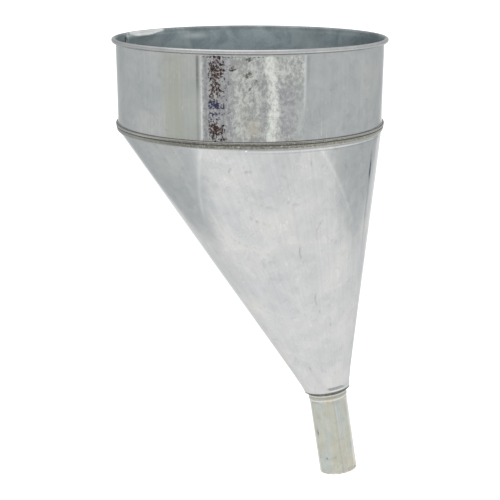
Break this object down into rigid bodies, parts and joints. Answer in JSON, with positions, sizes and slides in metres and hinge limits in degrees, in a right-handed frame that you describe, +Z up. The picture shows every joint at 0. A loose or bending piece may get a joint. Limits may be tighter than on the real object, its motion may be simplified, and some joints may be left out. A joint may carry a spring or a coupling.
{
  "type": "offset funnel",
  "caption": "Galvanised sheet-metal funnel with a wired rim, a straight collar seamed to an offset cone, a fixed strainer and a short tilted spout.",
  "frame": {"origin": "centre of the spout's open tip, where a filler neck holds the funnel", "axes": "+Z up, parallel to the collar's axis with the mouth level; the mouth is offset from the spout towards -X; XZ is the mirror plane, and the spout leans 10 degrees from -Z towards +X"},
  "size_m": [0.2222, 0.2222, 0.3613],
  "materials": {
    "galvanised_sheet": "semi-gloss zinc with spangle, handling scratches and stains",
    "steel_wire": "plain drawn wire",
    "solder": "dull grey tin-lead solder, smooth and slightly lumpy",
    "brass_mesh": "woven wire, lightly tarnished"
  },
  "bodies": {
    "root": {"collar": "galvanised_sheet", "rim_wire": "steel_wire", "collar_seam_solder": "solder", "cone": "galvanised_sheet", "cone_seam_solder": "solder", "body_seam_solder": "solder", "spout": "galvanised_sheet", "spout_seam_solder": "solder", "neck_solder": "solder", "strainer_ring": "galvanised_sheet", "strainer_screen": "brass_mesh", "strainer_tacks": "solder"}
  },
  "joints": []
}
